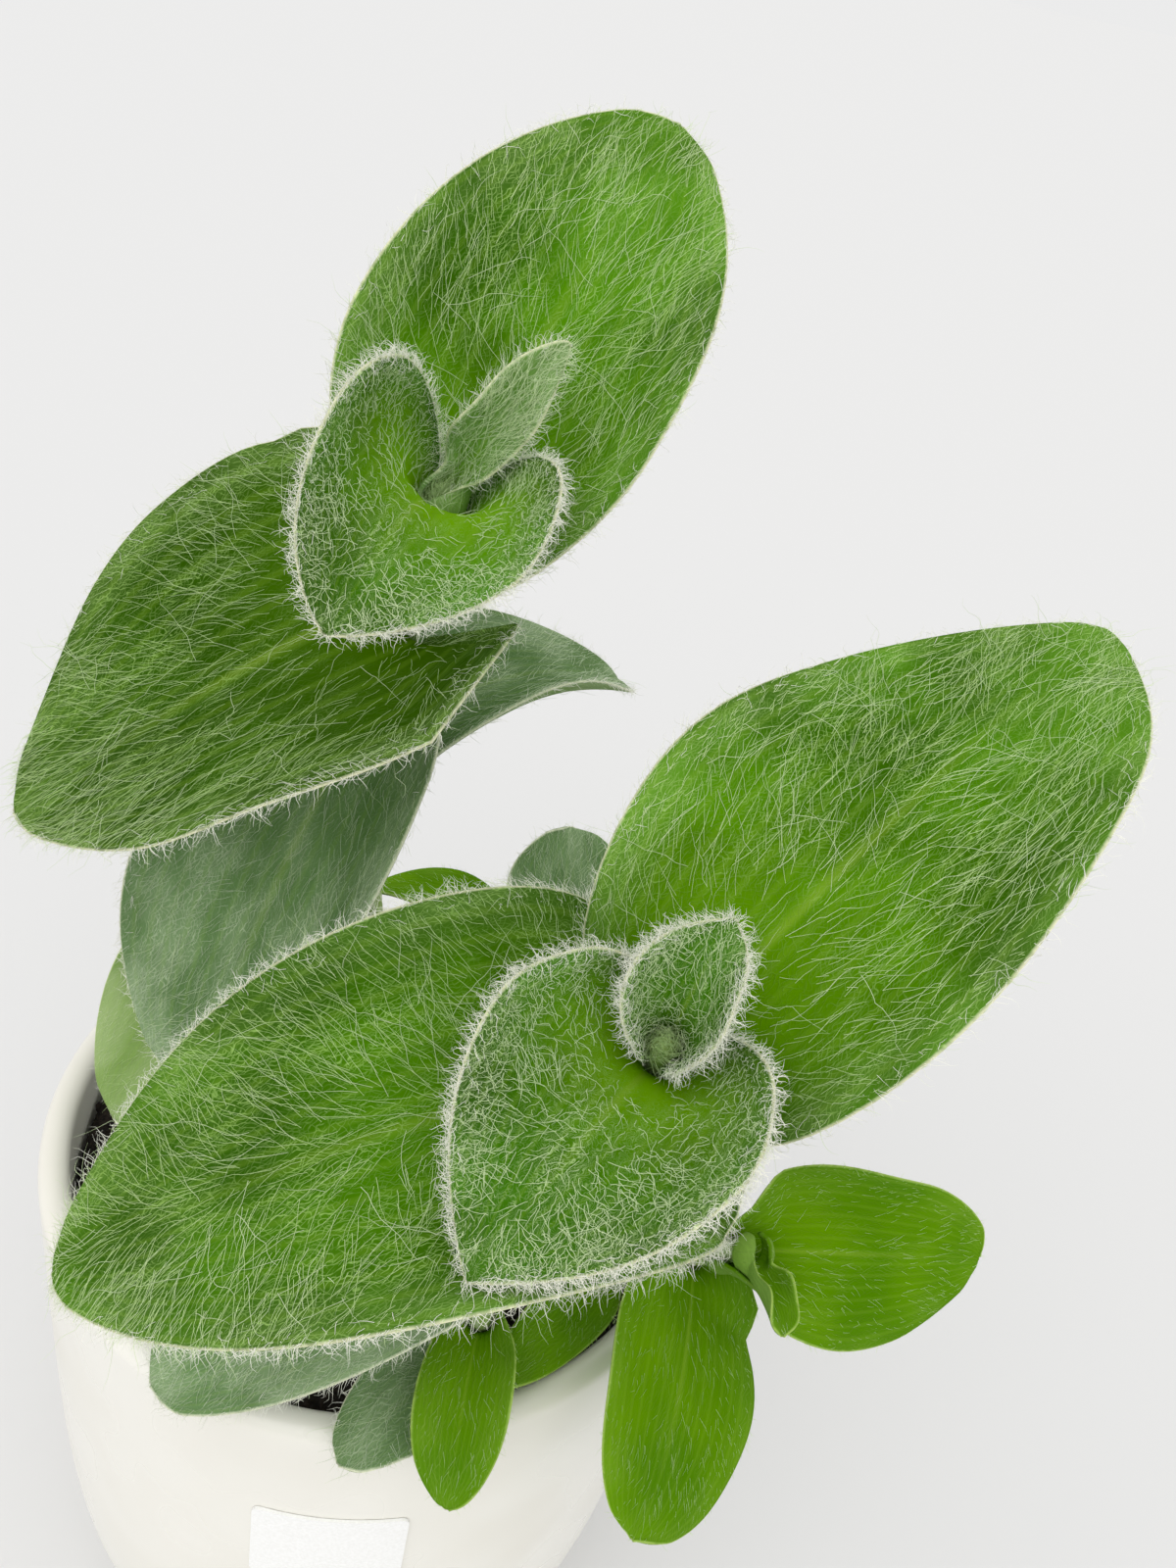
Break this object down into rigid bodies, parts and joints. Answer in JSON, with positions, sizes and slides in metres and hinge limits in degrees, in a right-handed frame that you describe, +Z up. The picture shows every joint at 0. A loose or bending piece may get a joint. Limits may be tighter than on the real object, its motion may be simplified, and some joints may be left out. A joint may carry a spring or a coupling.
{
  "type": "potted plant with white velvet leaves",
  "caption": "Small houseplant in a round glazed pot: leafy stems with broad, cupped green leaves under long white hairs, rising from dark potting soil.",
  "frame": {"origin": "centre of the pot's flat base, where it stands on a surface", "axes": "+Z up out of the pot, -Y to the side that the picture mostly shows, +X to the right in the picture"},
  "size_m": [0.1209, 0.1042, 0.2131],
  "materials": {
    "glazed_pot": "warm off-white satin glaze, smooth, with a rounded lip",
    "label_paper": "blank white matt paper",
    "potting_soil": "dark crumbly peat with a few pale grains",
    "stem": "pale green, fleshy, thinly haired",
    "velvet_leaf": "fleshy green leaf under long silky white hairs",
    "young_leaf": "light green leaf under dense short white down",
    "grey_leaf": "grey-green leaf under a close felt of white hairs",
    "fresh_leaf": "bright fresh green leaf with sparse white hairs"
  },
  "bodies": {
    "root": {"pot": "glazed_pot", "pot_label": "label_paper", "potting_soil": "potting_soil", "stem_tall": "stem", "stem_right": "stem", "stem_side": "stem", "stem_front": "stem", "stem_back": "stem", "leaf_tall_4": "velvet_leaf", "leaf_tall_5": "velvet_leaf", "leaf_right_2": "velvet_leaf", "leaf_right_3": "velvet_leaf", "leaf_tall_6": "young_leaf", "leaf_tall_7": "young_leaf", "leaf_right_4": "young_leaf", "leaf_right_5": "young_leaf", "leaf_tall_2": "grey_leaf", "leaf_tall_3": "grey_leaf", "leaf_right_1": "grey_leaf", "leaf_front_1": "grey_leaf", "leaf_back_2": "grey_leaf", "leaf_tall_1": "fresh_leaf", "leaf_side_1": "fresh_leaf", "leaf_side_2": "fresh_leaf", "leaf_side_3": "fresh_leaf", "leaf_side_4": "fresh_leaf", "leaf_front_2": "fresh_leaf", "leaf_back_1": "fresh_leaf"}
  },
  "joints": []
}
